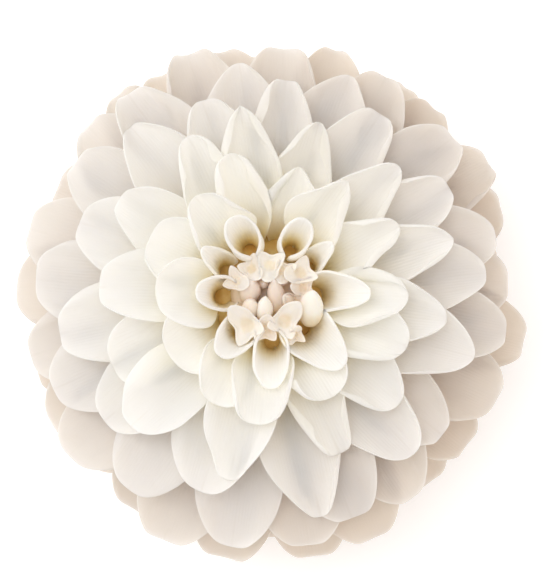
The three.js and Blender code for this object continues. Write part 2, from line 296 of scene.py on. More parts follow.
# A blade rolled this far round, in radians on each side, is a closed tube.
closedRoll = 3.08
leastHalfWidth = 0.01  # where a blade comes to a point

# The rim of every blade: how wide it is and how the points crowd towards it, then the line that it turns
# about, where it turns and how much of that it loses by the tip, and last how the end rounds off and thins.
rim = {
    "width": 0.04, "crowding": 1.25, "tipCrowding": 1.1,
    "hinge": 0.68, "turns": (0.2, 0.6), "straightens": (0.75, 1), "loss": 0.6,
    "fanning": 7, "blunting": 1.9, "sidePower": 6, "tipPower": 16, "thinning": 0.1,
}


# Where a blade is crossed, as shares from one rim to the other.
def crossingsOf(cells):
    steps = (2 * cell / cells - 1 for cell in range(cells + 1))
    inner = [math.sin(step * rim["crowding"]) / math.sin(rim["crowding"]) for step in steps]
    return [-1.0, *(side * (1 - rim["width"]) for side in inner), 1.0]


# The same along it, from the root to the tip.
def stationsOf(rows):
    inner = [1 - (1 - row / rows) ** rim["tipCrowding"] for row in range(rows + 1)]
    return [*(share * (1 - rim["width"] / 2) for share in inner), 1.0]


# Blades are laid from the centre outwards, and each sinks wherever it would cut through one laid before it.
# gap is what is kept between them, and a blade sinks freely only past the held part by its root.
laying = {
    "gap": 0.62, "reach": 6.0, "nearby": 42, "settling": 10, "fade": 0.97, "held": (0.04, 0.2), "floor": 0.3,
}
laidBlades = []


def sinkUnder(grid, turn):
    near = [
        tree for laidTurn, tree in laidBlades
        if abs((turn - laidTurn + 180) % 360 - 180) < laying["nearby"]
    ]
    need = []
    for row in grid:
        deepest = []
        for place, normal, above, marks in row:
            start = place + above * laying["gap"]
            hits = (tree.ray_cast(start, -above, laying["reach"])[3] for tree in near)
            deepest.append(max((hit for hit in hits if hit is not None), default=0.0))
        need.append(deepest)
    sink = [list(row) for row in need]
    last, end = len(need) - 1, len(need[0]) - 1
    # Each point follows the mean of its four neighbours, so that a blade bends down softly.
    for passing in range(laying["settling"]):
        sink = [
            [
                max(need[row][cell], laying["fade"] * 0.25 * (
                    sink[max(row - 1, 0)][cell] + sink[min(row + 1, last)][cell]
                    + sink[row][max(cell - 1, 0)] + sink[row][min(cell + 1, end)]))
                for cell in range(end + 1)
            ]
            for row in range(last + 1)
        ]
    for row, depths in zip(grid, sink):
        for cell, depth in enumerate(depths):
            place, normal, above, marks = row[cell]
            free = smooth(*laying["held"], marks["along"])
            place = place - above * (depth * free)
            place.z = max(place.z, laying["floor"])
            row[cell] = (place, normal, above, marks)


def rememberBlade(grid, turn):
    cells = len(grid[0])
    points = [place for row in grid for place, normal, above, marks in row]
    faces = [
        (row * cells + cell, (row + 1) * cells + cell, (row + 1) * cells + cell + 1, row * cells + cell + 1)
        for row in range(len(grid) - 1) for cell in range(cells - 1)
    ]
    laidBlades.append((turn, BVHTree.FromPolygons(points, faces)))


# How much of its turn a rim has taken at each point along it.
def rimTurning(along):
    return smooth(*rim["turns"], along) * (1 - rim["loss"] * smooth(*rim["straightens"], along))


# How far beside and above the middle line a curled blade is, and how far it has turned there.
def sectionAt(curl, radius):
    return radius * math.sin(curl), radius * (1 - math.cos(curl)), curl


# The middle surface of a blade, with the direction of its face at every point. A blade's arc is its half
# width measured round its curl, and its girth is the radius of that curl.
def bladeGrid(frameAt, blade, tone, ageAndShade):
    grid = []
    sides = crossingsOf(blade["cells"])
    for share in stationsOf(blade["rows"]):
        row = []
        spreading = share ** rim["fanning"]
        for side in sides:
            rounding = blade["roundness"] * abs(side) ** rim["blunting"]
            along = share * (1 - rounding - blade["nick"](side) * spreading)
            arc, radius = blade["arc"](along), blade["girth"](along)
            across = side * (1 - spreading) + math.copysign(spreading, side) * (side != 0)
            edge = 1 - (1 - abs(side) ** rim["sidePower"]) * (1 - share ** rim["tipPower"])
            roll = min(arc / radius, closedRoll)
            beyond, height, lean = sectionAt(roll * across, radius)
            if abs(across) > rim["hinge"]:
                # The rim turns about a hinge line, in or out, more towards the tip.
                hingeBeyond, hingeHeight = sectionAt(roll * math.copysign(rim["hinge"], across), radius)[:2]
                excess = (abs(across) - rim["hinge"]) / (1 - rim["hinge"])
                turned = blade["rimTurn"][side > 0] * excess * rimTurning(along) * math.copysign(1, side)
                run, rise = beyond - hingeBeyond, height - hingeHeight
                beyond = hingeBeyond + run * math.cos(turned) - rise * math.sin(turned)
                height = hingeHeight + run * math.sin(turned) + rise * math.cos(turned)
                lean += turned
            centre, beside, above = frameAt(along)
            normal = above * math.cos(lean) - beside * math.sin(lean)
            relief = blade["relief"](side, along, edge)
            place = centre + beside * beyond + above * height + normal * relief
            marks = {"along": along, "across": across * arc, "edge": edge, "tone": tone, "ageAndShade": ageAndShade}
            row.append((place, normal, above, marks))
        grid.append(row)
    return grid


# A closed thin shell over a middle surface, face and back sharing their rim.
def addShell(gathering, grid, thickness):
    last, end = len(grid) - 1, len(grid[0]) - 1
    face, back = [], []
    for step, row in enumerate(grid):
        faceRow, backRow = [], []
        for cell, (place, normal, above, marks) in enumerate(row):
            if step in (0, last) or cell in (0, end):
                corner = gathering.addPoint(place, **marks)
                faceRow.append(corner)
                backRow.append(corner)
            else:
                half = thickness * (0.5 - rim["thinning"] * marks["edge"])
                faceRow.append(gathering.addPoint(place + normal * half, **marks))
                backRow.append(gathering.addPoint(place - normal * half, **marks))
        face.append(faceRow)
        back.append(backRow)
    for row in range(last):
        for cell in range(end):
            for layer, flip in ((face, False), (back, True)):
                corners = [
                    layer[row][cell], layer[row + 1][cell], layer[row + 1][cell + 1], layer[row][cell + 1],
                ]
                gathering.addFace(*(reversed(corners) if flip else corners))


def addBlade(gathering, frameAt, blade, tone, ageAndShade=0.0, turn=None, sinks=True):
    grid = bladeGrid(frameAt, blade, tone, ageAndShade)
    if turn is not None:
        if sinks:
            sinkUnder(grid, turn)
        rememberBlade(grid, turn)
    addShell(gathering, grid, blade["thickness"])


# The innermost open petals, placed one by one. Each later row sits in the gaps of the row inside it.
# rims is how far the clockwise and the other rim turn in, fold how deep the petal is creased, and taper how
# pointed it ends, where 0.5 is round.
firstRow = (
    {"turn": -4, "reach": 29, "rims": (0.2, 2.0), "fold": 0.4, "taper": 0.5, "sway": 0, "width": 1.08},
    {"turn": 25, "reach": 30, "rims": (0.5, 0.3), "fold": 2.4, "taper": 0.65, "sway": 0, "width": 1.05},
    {"turn": 53, "reach": 27.5, "rims": (0.6, -0.2), "fold": 2.6, "taper": 0.9, "sway": 0, "width": 1.12},
    {"turn": 79, "reach": 26, "rims": (0.0, 2.2), "fold": 1.6, "taper": 1.0, "sway": -1.6, "width": 1.0},
    {"turn": 105, "reach": 29, "rims": (1.2, 1.2), "fold": 1.4, "taper": 0.65, "sway": 0.4, "width": 1.0},
    {"turn": 127, "reach": 24, "rims": (-0.2, 0.6), "fold": 1.2, "taper": 0.7, "sway": 0.8, "width": 1.0},
    {"turn": 157, "reach": 26.5, "rims": (-0.2, 0.3), "fold": 0.4, "taper": 0.5, "sway": 0.6, "width": 1.1},
    {"turn": 184, "reach": 23, "rims": (0.1, -0.2), "fold": 0.4, "taper": 0.5, "sway": -0.5, "width": 1.1},
    {"turn": 214, "reach": 24.5, "rims": (-0.3, 0.3), "fold": 0.6, "taper": 0.55, "sway": 0.5, "width": 1.1},
    {"turn": 243, "reach": 26, "rims": (0.4, 0.0), "fold": 0.8, "taper": 0.55, "sway": 0.6, "width": 1.05},
    {"turn": 268, "reach": 28, "rims": (0.4, 0.3), "fold": 0.8, "taper": 0.5, "sway": -0.6, "width": 1.1},
    {"turn": 299, "reach": 26, "rims": (0.7, 0.3), "fold": 0.8, "taper": 0.52, "sway": 0.6, "width": 1.12},
    {"turn": 337, "reach": 31, "rims": (0.7, 0.2), "fold": 0.6, "taper": 0.5, "sway": 0, "width": 1.1},
)

# Petals further out that depart from the rule of their row, by row and place in it.
departures = {
    (1, 0): {"turn": 348, "reach": 37.5}, (1, 1): {"turn": 16, "reach": 40},
    (1, 2): {"turn": 42, "reach": 37.5, "fold": 3.0, "taper": 0.85, "rims": (0.6, -0.1)},
    (1, 3): {"turn": 72, "reach": 37, "fold": 3.6, "taper": 0.9, "rims": (0.7, 0.2)},
    (1, 4): {"turn": 98, "reach": 39}, (1, 5): {"turn": 119, "reach": 36},
    (1, 6): {"turn": 149, "reach": 36.5}, (1, 7): {"turn": 178, "reach": 35},
    (1, 8): {"turn": 205, "reach": 36}, (1, 9): {"turn": 226, "reach": 40},
    (1, 10): {"turn": 259, "reach": 40, "fold": 3.6, "taper": 0.85},
    (1, 11): {"turn": 293, "reach": 37, "fold": 3.4, "taper": 0.8, "rims": (0.8, 0.2)},
    (1, 12): {"turn": 318, "reach": 36},
    (2, 0): {"turn": 340, "reach": 45}, (2, 1): {"turn": 5, "reach": 46},
    (2, 2): {"turn": 31, "reach": 44}, (2, 3): {"turn": 59, "reach": 45},
    (2, 4): {"turn": 85, "reach": 45.5, "fold": 4.0, "taper": 0.9, "rims": (0.2, 0.7)},
    (2, 8): {"turn": 192, "reach": 45}, (2, 10): {"turn": 250, "reach": 44},
    (2, 11): {"turn": 283, "reach": 48.5, "width": 1.1, "fold": 4.6, "taper": 0.95, "rims": (-0.2, 0.2)},
    (2, 12): {"turn": 310, "reach": 45.5},
}

# All open petals follow these where the two lists above say nothing else. The resting ones lie on the floor.
openPetals = {
    "thickness": 0.5, "rows": 18, "cells": 14,
    "clawEnd": 0.5, "widestAt": 0.64, "clawWidth": 0.24,
    "roundness": 0.2, "endFullness": 2.05, "taper": (0.5, 0.8),
    "broadestHalfWidth": 10.6, "broadestRow": 4, "narrowingPerRow": 0.15,
    "firstCup": 0.8, "cupLossPerRow": 0.09, "leastCup": 0.45,
    "clawCurl": 0.6, "tipCurl": 0.9, "tipCurlFrom": 0.55,
    "reachVariety": 0.03, "turnVariety": 3, "widthVariety": 0.6, "cupVariety": 0.1, "tiltVariety": 0.12,
    "fold": 2.8, "foldLossPerRow": 0.12, "leastFold": 0.3, "foldVariety": 1.1,
    "rimTurn": (-0.5, 0.9), "tipLift": 1.3, "sway": 1.4,
    "nick": 0.002, "notches": 5, "notchVariety": 4, "firstNick": 0.3, "nickPerRow": 0.25,
    "restingSlope": 2, "restingCup": 0.12, "restingLift": 0.35, "restingRelief": 0.25,
    "softTaper": 0.52, "softFold": 0.5, "softTipCurl": 0.25, "softWidth": 0.95,
}

# The petals are painted darker and warmer towards these sides, which face away from the key light: painted
# shade.
shadeBlush = {"outer": 0.1, "outerSide": -30, "inner": 0.06, "innerSide": 40}

# The sides of the bloom where the petals are softer: the middle of each, the cosines of the angle from it
# between which they soften, how soft they get, how far their tips rise and how far the two rims turn in.
softSides = (
    {"turn": 220, "fades": (-0.3, 0.55), "softness": 1.0, "tip": -1.4, "rims": (-0.9, 0.0)},
    {"turn": -20, "fades": (0.5, 0.95), "softness": 0.7, "tip": 0.3, "rims": (-0.4, 0.4)},
)


def reachAt(level):
    return bloom["reach"] * math.sin(math.radians(bloom["firstTipAngle"] + bloom["tipAnglePerRow"] * level))


def tipHeightAt(level):
    height = math.cos(math.radians(bloom["firstTipAngle"] + bloom["tipAnglePerRow"] * level))
    return bloom["waistHeight"] + (bloom["crownRise"] if height > 0 else bloom["skirtDrop"]) * height


def petalPath(level, reach):
    rootAngle = math.radians(bloom["firstRootAngle"] + bloom["rootAnglePerRow"] * level)
    lies = tipHeightAt(level) < 0
    root = (
        bloom["rootRadius"] * math.sin(rootAngle),
        bloom["rootHeight"] + bloom["rootRise"] * math.cos(rootAngle),
    )
    rootSlope = bloom["firstRootSlope"] - bloom["rootSlopePerRow"] * level
    tip = (reach, openPetals["restingLift"] if lies else tipHeightAt(level))
    openSlope = bloom["firstTipSlope"] - bloom["tipSlopePerRow"] * level
    tipSlope = openPetals["restingSlope"] if lies else openSlope
    return sweep(root, math.radians(rootSlope), tip, math.radians(tipSlope))


# Half width along a petal: a narrow claw, widest past the middle, then an end more or less pointed.
def petalOutline(taper):
    widestAt, clawWidth = openPetals["widestAt"], openPetals["clawWidth"]

    def at(along):
        if along < widestAt:
            return clawWidth + (1 - clawWidth) * smooth(0, widestAt, along)
        fall = min((along - widestAt) / (1 - widestAt), 1)
        return (1 - fall ** openPetals["endFullness"]) ** taper
    return at


# The places of every row round the axis: each petal stands between two of the row inside it.
def rowTurns():
    rows = [[petal["turn"] for petal in firstRow]]
    while len(rows) < bloom["rows"]:
        inner = rows[-1]
        before = [inner[-1] - 360] + inner[:-1]
        rows.append([(turn + last) / 2 + bloom["rowTwist"] for turn, last in zip(inner, before)])
    return rows


# How soft a petal is, from 0 to 1, and the soft side that makes it so.
def softnessAt(turn):
    shares = [
        side["softness"] * smooth(*side["fades"], math.cos(math.radians(turn - side["turn"])))
        for side in softSides
    ]
    softness = max(shares)
    return softness, softSides[shares.index(softness)]


# What rises and falls on the surface of a petal, and the shares of its length between which each form shows.
reliefs = {
    "opens": (0.12, 0.5), "seed": 3.7,
    "creased": (0.4, 0.85), "creaseFoot": 0.3, "keel": 0.2, "keelWidth": 0.2, "ribs": 0.08, "ribCount": 2.5,
    "buckle": 0.6, "bucklesAlong": 2.6, "bucklesAcross": 1.7,
    "rimLift": 0.5, "leastLift": 0.35, "liftVariety": 0.9, "lean": 0.7, "flares": (0.3, 0.75),
    "rimWave": 0.45, "leastWaves": 1.6, "waveVariety": 1.6, "wavesAlong": 5, "wavesAcross": 2.2,
    "tipRises": (0.6, 1.1), "softTipLoss": 0.5,
}


# The surface of one petal: a fold that sharpens to the tip, ribs, soft buckles, and a rim that waves.
def petalRelief(piece, scale, fold, softness=0.0, softTip=0.0):
    lift = reliefs["rimLift"] * (reliefs["leastLift"] + reliefs["liftVariety"] * chance(piece, "rimLift"))
    lean = spread(piece, "rimLean", reliefs["lean"])
    waves = reliefs["leastWaves"] + reliefs["waveVariety"] * chance(piece, "waves")
    phase = chance(piece, "wavePhase") * math.tau
    tipLift = spread(piece, "tipLift", openPetals["tipLift"]) * (1 - reliefs["softTipLoss"] * softness)
    tipLift += softTip * softness

    def at(side, along, edge):
        opened = smooth(*reliefs["opens"], along)
        crease = fold * (abs(side) - reliefs["creaseFoot"]) * smooth(*reliefs["creased"], along)
        keel = -reliefs["keel"] * math.exp(-(side / reliefs["keelWidth"]) ** 2) * opened
        ribs = reliefs["ribs"] * math.cos(side * math.pi * reliefs["ribCount"]) * (1 - edge) * opened
        spot = (along * reliefs["bucklesAlong"], side * reliefs["bucklesAcross"], piece * reliefs["seed"])
        buckle = reliefs["buckle"] * noise.noise(Vector(spot)) * opened
        flare = edge ** 3 * lift * (1 + lean * side) * smooth(*reliefs["flares"], along)
        swing = waves * (along * reliefs["wavesAlong"] + side * reliefs["wavesAcross"]) + phase
        wave = reliefs["rimWave"] * edge ** 2 * math.sin(swing) * opened
        tip = tipLift * smooth(*reliefs["tipRises"], along)
        return (crease + keel + ribs + buckle + flare + wave + tip) * scale
    return at


# How far down the spiral of its row a petal stands. Neighbours stand well apart on it.
def stepInRow(place):
    return bloom["staggerStep"] * place % bloom["petalsPerRow"]


def addOpenPetal(gathering, row, place, turns):
    piece = row * bloom["petalsPerRow"] + place
    level = row + (stepInRow(place) / bloom["petalsPerRow"] - 0.5) * bloom["staggerInRow"]
    lies = tipHeightAt(level) < 0
    ruledTurn = turns[row][place] + spread(piece, "turn", openPetals["turnVariety"])
    softness, softSide = softnessAt(ruledTurn)

    def soften(usual, soft):
        return usual + (soft - usual) * softness
    blunt, sharp = openPetals["taper"]
    least, most = (soften(usual, soft) for usual, soft in zip(openPetals["rimTurn"], softSide["rims"]))
    fold = soften(openPetals["fold"] - openPetals["foldLossPerRow"] * row, openPetals["softFold"])
    petal = {
        "turn": ruledTurn,
        "reach": (
            reachAt(level) * (1 - bloom["oval"] * math.cos(2 * math.radians(ruledTurn)))
            * (1 + spread(piece, "reach", openPetals["reachVariety"]))
        ),
        "fold": fold * (openPetals["leastFold"] + openPetals["foldVariety"] * chance(piece, "fold")),
        "rims": [least + (most - least) * chance(piece, trait) for trait in ("firstRim", "otherRim")],
        "taper": soften(blunt + (sharp - blunt) * chance(piece, "taper"), openPetals["softTaper"]),
        "sway": spread(piece, "sway", openPetals["sway"]),
        "width": soften(1, openPetals["softWidth"]),
    }
    petal.update(firstRow[place] if row == 0 else departures.get((row, place), {}))
    narrowing = openPetals["narrowingPerRow"] * (row - openPetals["broadestRow"]) ** 2
    variety = spread(piece, "width", openPetals["widthVariety"])
    halfWidth = (openPetals["broadestHalfWidth"] - narrowing + variety) * petal["width"]
    openCup = (
        max(openPetals["firstCup"] - openPetals["cupLossPerRow"] * row, openPetals["leastCup"])
        + spread(piece, "cup", openPetals["cupVariety"])
    )
    cup = openPetals["restingCup"] if lies else openCup
    tilt = 0 if lies else spread(piece, "tilt", openPetals["tiltVariety"])
    tipCurl = 0 if lies else soften(openPetals["tipCurl"], openPetals["softTipCurl"])
    outline = petalOutline(petal["taper"])

    def arcAt(along):
        return halfWidth * outline(along)

    def girthAt(along):
        claw = openPetals["clawCurl"] * (1 - along) ** 2
        curl = cup * (1 + tipCurl * smooth(openPetals["tipCurlFrom"], 1, along)) + claw
        return max(arcAt(along), leastHalfWidth) / curl

    # Shallow notches along the end, deeper in the outer rows.
    def nickAt(side):
        notches = openPetals["notches"] + piece % openPetals["notchVariety"]
        deepening = openPetals["firstNick"] + row * openPetals["nickPerRow"]
        return openPetals["nick"] * (1 + math.sin(side * notches + piece)) * deepening
    scale = openPetals["restingRelief"] if lies else 1.0
    blade = {
        "rows": openPetals["rows"], "cells": openPetals["cells"], "thickness": openPetals["thickness"],
        "roundness": openPetals["roundness"], "arc": arcAt, "girth": girthAt, "nick": nickAt,
        "rimTurn": (0, 0) if lies else petal["rims"],
        "relief": petalRelief(piece, scale, petal["fold"], softness, softSide["tip"]),
    }
    turn = petal["turn"]
    frameAt = frameOn(petalPath(level, petal["reach"]), math.radians(turn), tilt, petal["sway"])
    # Painted shade, partly the ageing of the outer petals: the tint grows towards the outer rows and towards
    # the sides away from the key light.
    outerShadeBlush = shadeBlush["outer"] * math.cos(math.radians(turn - shadeBlush["outerSide"]))
    innerShadeBlush = 0.5 + 0.5 * math.cos(math.radians(turn - shadeBlush["innerSide"]))
    ageAndShade = row / (bloom["rows"] - 1) * (1 + outerShadeBlush) + shadeBlush["inner"] * innerShadeBlush
    addBlade(gathering, frameAt, blade, chance(piece, "petalTone"), ageAndShade, turn)


def makeOpenPetals(finish):
    turns = rowTurns()
    for row in range(bloom["rows"]):
        gathering = Gathering()
        # The petals that stand highest on the spiral are laid first.
        for place in sorted(range(bloom["petalsPerRow"]), key=stepInRow):
            addOpenPetal(gathering, row, place, turns)
        gathering.makePiece(f"petal_row_{row + 1}", finish, "petal", "ray_florets")
    print("open petals made")


# Rolled florets between the centre and the first open row: tubes cut aslant, so that each mouth is a loop.
# girth is the tube's radius at its mouth, roll how far round it goes on each side, and cut where the mouth
# begins.
rolledFlorets = {
    "rootRadius": 11.5, "rootHeight": 29, "rootSlope": 80, "thickness": 0.7, "rows": 20, "cells": 22,
    "tilt": 0.1, "clawGirth": 0.5, "opens": (0, 0.6), "flare": 0.14, "flares": (0.7, 1), "roundness": 0.4,
    "clawEnd": 0.8, "relief": 0.3, "firstPiece": 200,
    "places": (
        {"turn": 113, "reach": 16.2, "tip": 49.6, "slope": 66,
         "roll": closedRoll, "girth": 3.2, "cut": 0.66, "sway": 1.2},
        {"turn": 64, "reach": 16.0, "tip": 49.8, "slope": 68,
         "roll": closedRoll, "girth": 2.95, "cut": 0.64, "sway": -0.8},
        {"turn": 33, "reach": 16.2, "tip": 47.4, "slope": 50,
         "roll": 2.0, "girth": 2.7, "cut": 0.4, "sway": 0.4},
        {"turn": -2, "reach": 21.2, "tip": 48.4, "slope": 38,
         "roll": 2.3, "girth": 4.1, "cut": 0.46, "sway": -0.6},
        {"turn": -45, "reach": 22.6, "tip": 48.2, "slope": 34,
         "roll": 2.1, "girth": 5.5, "cut": 0.44, "sway": -0.6},
        {"turn": 274, "reach": 20.6, "tip": 47.4, "slope": 36,
         "roll": 2.8, "girth": 3.5, "cut": 0.52, "sway": -0.9},
        {"turn": 236, "reach": 17.2, "tip": 48.2, "slope": 46,
         "roll": 2.4, "girth": 3.7, "cut": 0.48, "sway": -0.4},
        {"turn": 183, "reach": 15.2, "tip": 48.6, "slope": 56,
         "roll": 2.6, "girth": 3.5, "cut": 0.56, "sway": 0.2},
        {"turn": 151, "reach": 15.8, "tip": 47.2, "slope": 50,
         "roll": 2.2, "girth": 2.7, "cut": 0.5, "sway": -0.4},
    ),
}


def addRolledFloret(gathering, place, floret):
    path = sweep(
        (rolledFlorets["rootRadius"], rolledFlorets["rootHeight"]), math.radians(rolledFlorets["rootSlope"]),
        (floret["reach"], floret["tip"]), math.radians(floret["slope"]),
    )
    clawGirth = rolledFlorets["clawGirth"]

    def girthAt(along):
        opening = clawGirth + (1 - clawGirth) * smooth(*rolledFlorets["opens"], along)
        flare = rolledFlorets["flare"] * smooth(*rolledFlorets["flares"], along)
        return floret["girth"] * opening * (1 + flare)

    # A plane that cuts a tube aslant meets it further round the lower it goes.
    def arcAt(along):
        fromTip = min((1 - along) / (1 - floret["cut"]), 1)
        return girthAt(along) * floret["roll"] * math.acos(1 - 2 * fromTip) / math.pi
    blade = {
        "rows": rolledFlorets["rows"], "cells": rolledFlorets["cells"],
        "thickness": rolledFlorets["thickness"],
        "roundness": (1 - floret["cut"]) * rolledFlorets["roundness"], "arc": arcAt, "girth": girthAt,
        "nick": lambda side: 0, "rimTurn": (0, 0),
        "relief": petalRelief(rolledFlorets["firstPiece"] + place, rolledFlorets["relief"], 0),
    }
    tilt = spread(place, "rolledTilt", rolledFlorets["tilt"])
    frameAt = frameOn(path, math.radians(floret["turn"]), tilt, floret["sway"])
    addBlade(gathering, frameAt, blade, chance(place, "rolledTone"), turn=floret["turn"], sinks=False)


def makeRolledFlorets(finish):
    gathering = Gathering()
    for place, floret in enumerate(rolledFlorets["places"]):
        addRolledFloret(gathering, place, floret)
    gathering.makePiece("rolled_florets", finish, "petal", "ray_florets")
    print("rolled florets made")


# A body turned about the axis, from (radius, height) pairs that start and end on it. swell is how much wider
# it is at a turn and a share of its steps.
def addTurned(gathering, profile, sides, swell=lambda turn, share: 1.0, tone=0.5):
    rings = []
    for step, (radius, height) in enumerate(profile):
        share = step / (len(profile) - 1)
        if radius == 0:
            rings.append([gathering.addPoint(Vector((0, 0, height)), along=share, tone=tone)] * sides)
            continue
        ring = []
        for side in range(sides):
            turn = math.tau * side / sides
            reach = radius * swell(turn, share)
            point = Vector((reach * math.cos(turn), reach * math.sin(turn), height))
            ring.append(gathering.addPoint(point, along=share, across=side / sides, tone=tone))
        rings.append(ring)
    for lower, upper in zip(rings, rings[1:]):
        for side in range(sides):
            after = (side + 1) % sides
            gathering.addFace(lower[side], lower[after], upper[after], upper[side])


# The receptacle that every petal grows from.
receptacle = {
    "profile": (
        (0, 12.5), (9, 12.5), (10.5, 12.9), (14, 17.5), (15, 24), (13.5, 30), (10.2, 33), (9, 33.5),
        (0, 33.5),
    ),
    "sides": 48, "bumps": 13, "bumpHeight": 0.03, "twist": 9,
    "light": shade(234, 214, 154), "deep": shade(212, 180, 112), "driftScale": 240, "grainHeight": 0.2,
}


def makeReceptacle():
    material, start = startFinish("receptacle flesh")
    drift = start.mottle(receptacle["driftScale"], 3)
    grain = {"Strength": 0.4, "Distance": receptacle["grainHeight"] * mm, "Height": drift}
    endFinish(start, {
        "Base Color": drift.ramp(0.35, 0.65).blend(receptacle["deep"], receptacle["light"]),
        "Roughness": 0.5 + drift * 0.2, "Normal": start.node("ShaderNodeBump", {}, grain),
        "Subsurface Weight": 0.3, "Subsurface Radius": (1.0, 0.9, 0.5), "Subsurface Scale": 0.002,
    })

    def swellAt(turn, share):
        wave = math.sin(turn * receptacle["bumps"] + share * receptacle["twist"])
        return 1 + receptacle["bumpHeight"] * wave
    gathering = Gathering()
    addTurned(gathering, receptacle["profile"], receptacle["sides"], swellAt)
    gathering.makePiece("receptacle", material, "petal", "ray_florets")
    print("receptacle made")


# Closed florets of the eye: base and point of each, its radius, how slim it ends and its tone. Each has a few
# lobes that twist a little round it.
buds = {
    "sides": 20, "lobes": 5, "ridge": 0.05, "twist": 0.9,
    "profile": (
        (0, 0), (0.7, 0.03), (0.93, 0.2), (1, 0.42), (0.93, 0.62), (0.76, 0.78), (0.5, 0.9), (0.2, 0.98),
        (0, 1),
    ),
    "cream": shade(252, 248, 239), "blush": shade(240, 226, 215), "goldAndShade": shade(212, 188, 140),
    "driftScale": 300, "driftWidth": 0.2, "goldAndShadeTo": 0.55, "grainHeight": 0.1,
    "places": (
        {"base": (-4.2, -1.4, 37.5), "point": (-3.2, 1.2, 45.8), "radius": 2.3, "taper": 1.0, "tone": 0.1},
        {"base": (2.2, -4.6, 37.5), "point": (1.2, 1.8, 46.2), "radius": 2.0, "taper": 1.2, "tone": 0.0},
        {"base": (-0.9, -6.6, 38), "point": (-0.5, -1.6, 46.4), "radius": 1.9, "taper": 1.7, "tone": 0.9},
        {"base": (-4.0, -5.4, 37), "point": (-3.4, -2.4, 45.2), "radius": 2.0, "taper": 1.2, "tone": 0.5},
        {"base": (-1.0, 2.4, 37), "point": (-0.8, 1.2, 44.4), "radius": 1.5, "taper": 1.2, "tone": 0.3},
        {"base": (4.2, -3.0, 37), "point": (3.7, -1.4, 44.8), "radius": 1.6, "taper": 1.2, "tone": 0.4},
        {"base": (3.0, 2.8, 37), "point": (2.9, 1.6, 44.2), "radius": 1.4, "taper": 1.2, "tone": 0.4},
        {"base": (8.5, -6.6, 38), "point": (9.3, -0.7, 47.8), "radius": 2.5, "taper": 1.25, "tone": 1.2,
         "lobes": 2, "ridge": 0.14},
    ),
}


def makeBudFinish():
    material, start = startFinish("closed floret skin")
    drift = start.mottle(buds["driftScale"])
    along = start.mark("along")
    skin = start.mark("tone").ramp(0.35, 0.75).blend(buds["blush"], buds["cream"])
    # Golden towards each floret's base: partly the florets' own colour and partly painted shade, low between
    # the florets and down in the throats.
    risen = (along + (drift - 0.5) * buds["driftWidth"]).ramp(0.05, buds["goldAndShadeTo"])
    grain = {"Strength": 0.3, "Distance": buds["grainHeight"] * mm, "Height": drift}
    endFinish(start, {
        "Base Color": risen.blend(buds["goldAndShade"], skin),
        "Roughness": 0.48 + drift * 0.16, "Normal": start.node("ShaderNodeBump", {}, grain),
        "Subsurface Weight": 0.4, "Subsurface Radius": (1.0, 0.8, 0.55), "Subsurface Scale": 0.0018,
        "Specular IOR Level": 0.3, "Sheen Weight": 0.1,
    })
    return material


def addBud(gathering, bud):
    base = Vector(bud["base"])
    axis = Vector(bud["point"]) - base
    turning = axis.to_track_quat("Z", "Y")
    first = len(gathering.points)
    lobes, ridge = bud.get("lobes", buds["lobes"]), bud.get("ridge", buds["ridge"])

    def swellAt(turn, share):
        return 1 + ridge * math.cos(lobes * (turn + share * buds["twist"])) * math.sin(math.pi * share)
    profile = [
        (across ** bud["taper"] * bud["radius"], along * axis.length) for across, along in buds["profile"]
    ]
    addTurned(gathering, profile, buds["sides"], swellAt, bud["tone"])
    # The bud is made upright over the origin, then laid along its own axis.
    for number in range(first, len(gathering.points)):
        gathering.points[number] = (turning @ (gathering.points[number] / mm) + base) * mm


# Small opening florets round the eye: a trumpet each, with one broad pointed lip and two lesser ones.
# mouth is the middle of the trumpet's mouth, and face the direction in which its broad lip points. Each lip
# is its angle from there, its strength and its half width, and the profile pairs height with width.
trumpets = {
    "sides": 36, "wall": 0.42, "depth": 0.45, "rootShare": 0.7, "rootHeight": 35.4,
    "profile": (
        (0, 0.5), (0.15, 0.64), (0.4, 0.74), (0.6, 0.82), (0.74, 0.92), (0.86, 1.05), (0.94, 1.16), (1, 1.24),
    ),
    "lips": ((0, 1.0, 1.15), (2.25, 0.55, 0.75), (-2.25, 0.45, 0.75)),
    "lipPower": 1.1, "lipFrom": 0.5, "lipHeight": 0.36, "lipReach": 1.15,
    "throatShadeShift": 0.25, "warmRoot": 0.4, "tone": 0.5, "toneVariety": 0.3, "rimPower": 8,
    "places": (
        {"mouth": (-3.9, 5.0, 46.0), "face": 305, "radius": 1.6},
        {"mouth": (0.4, 5.8, 46.4), "face": 262, "radius": 1.9},
        {"mouth": (3.6, 4.4, 45.8), "face": 252, "radius": 1.5},
        {"mouth": (7.6, 4.2, 46.0), "face": 205, "radius": 1.9},
        {"mouth": (8.2, 0.6, 45.2), "face": 185, "radius": 1.5},
        {"mouth": (6.2, -2.8, 45.0), "face": 160, "radius": 1.4},
        {"mouth": (3.9, -7.4, 46.6), "face": 62, "radius": 2.1},
        {"mouth": (6.4, -10.4, 44.8), "face": 100, "radius": 1.2},
        {"mouth": (-7.4, 2.2, 45.8), "face": 335, "radius": 1.6},
        {"mouth": (-4.9, -8.4, 46.8), "face": 120, "radius": 2.2},
        {"mouth": (-0.4, -9.2, 45.6), "face": 85, "radius": 1.6},
    ),
}


